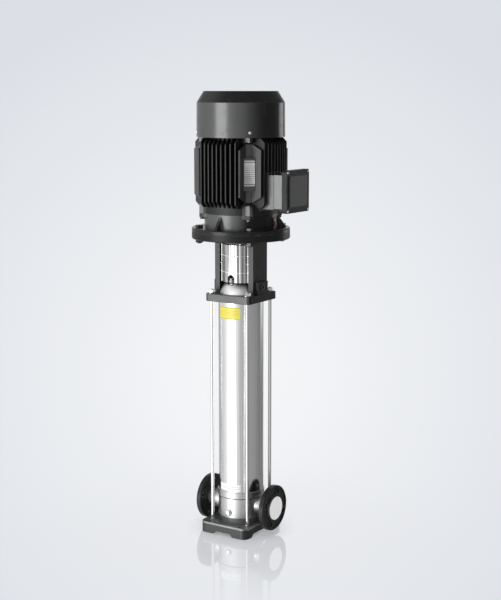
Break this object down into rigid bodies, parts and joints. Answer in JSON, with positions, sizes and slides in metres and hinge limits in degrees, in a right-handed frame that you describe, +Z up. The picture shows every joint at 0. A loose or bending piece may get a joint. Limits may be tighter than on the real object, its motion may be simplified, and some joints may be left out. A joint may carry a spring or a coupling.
{
  "type": "vertical multistage pump",
  "caption": "Vertical multistage in-line pump with stainless sleeve, stay bolts, ribbed flange motor, coupling guards and loose port flanges on a cast foot.",
  "frame": {"origin": "floor plane under the pump shaft, the centre of the four anchor holes", "axes": "+Z up along the pump shaft, +X out of the outlet port and the terminal box, -Y to the drain plug, vent plug and labels"},
  "size_m": [0.414, 0.35, 1.5887],
  "materials": {
    "cast_black": "satin black paint over rough casting",
    "motor_black": "satin black paint over ribbed casting",
    "cowl_black": "satin black paint on pressed sheet",
    "polished_steel": "bright polished stainless",
    "cast_steel": "satin bead-blasted stainless",
    "bright_fastener": "bright zinc and stainless fasteners",
    "black_fastener": "black oxide",
    "shaft_steel": "turned steel",
    "core_steel": "varnished laminations",
    "coupling_iron": "machined casting",
    "bush_bronze": "bearing bronze",
    "seal_rubber": "matte",
    "fan_plastic": "matte",
    "stopper_red": "moulded plastic",
    "label_yellow": "printed film, left blank",
    "label_white": "film, left blank",
    "plate_silver": "blank rating plate"
  },
  "bodies": {
    "pump": {"base_plate": "cast_black", "motor_stool": "cast_black", "drive_endshield": "cast_black", "fan_endshield": "cast_black", "motor_housing": "motor_black", "terminal_box": "motor_black", "terminal_lid": "motor_black", "fan_cowl": "cowl_black", "outer_sleeve": "polished_steel", "guard_front": "polished_steel", "guard_rear": "polished_steel", "stay_bolts": "polished_steel", "base_chamber": "cast_steel", "suction_duct": "cast_steel", "outlet_neck": "cast_steel", "inlet_neck": "cast_steel", "head_cover": "cast_steel", "stage_chambers": "cast_steel", "stage_straps": "cast_steel", "shaft_seal": "cast_steel", "drain_plug": "bright_fastener", "vent_plug": "bright_fastener", "stay_nuts": "bright_fastener", "stay_washers": "bright_fastener", "guard_screws": "bright_fastener", "cowl_screws": "bright_fastener", "lid_screws": "bright_fastener", "flange_bolts": "black_fastener", "flange_nuts": "black_fastener", "endshield_screws": "black_fastener", "stool_plugs": "black_fastener", "drive_bearing": "shaft_steel", "fan_bearing": "shaft_steel", "stator": "core_steel", "bottom_bush": "bush_bronze", "sleeve_orings": "seal_rubber", "terminal_gasket": "seal_rubber", "cable_gland": "fan_plastic", "terminal_board": "fan_plastic", "drain_stopper": "stopper_red", "sleeve_label": "label_yellow", "lower_label": "label_white", "outlet_cover": "label_white", "inlet_cover": "label_white", "nameplate": "plate_silver"},
    "rotor": {"pump_shaft": "polished_steel", "impellers": "cast_steel", "coupling_half_outlet": "coupling_iron", "coupling_half_inlet": "coupling_iron", "coupling_screws": "bright_fastener", "motor_shaft": "shaft_steel", "rotor_core": "core_steel", "fan": "fan_plastic", "seal_ring": "cast_steel"},
    "outlet_ring": {"outlet_flange": "cast_black"},
    "inlet_ring": {"inlet_flange": "cast_black"},
    "vent_needle": {"vent_spindle": "bright_fastener"}
  },
  "joints": [
    {"name": "rotor_spin", "type": "hinge", "parent": "pump", "child": "rotor", "pos_m": [0, 0, 1], "axis": [0, 0, 1], "continuous": true},
    {"name": "outlet_ring_swivel", "type": "hinge", "parent": "pump", "child": "outlet_ring", "pos_m": [0.13, 0, 0.0965], "axis": [1, 0, 0], "continuous": true},
    {"name": "inlet_ring_swivel", "type": "hinge", "parent": "pump", "child": "inlet_ring", "pos_m": [-0.13, 0, 0.0965], "axis": [-1, 0, 0], "continuous": true},
    {"name": "vent_needle_turn", "type": "hinge", "parent": "pump", "child": "vent_needle", "pos_m": [0, -0.054, 0.91421], "axis": [0, -0.4226, 0.9063], "range_deg": [0, 180]}
  ]
}
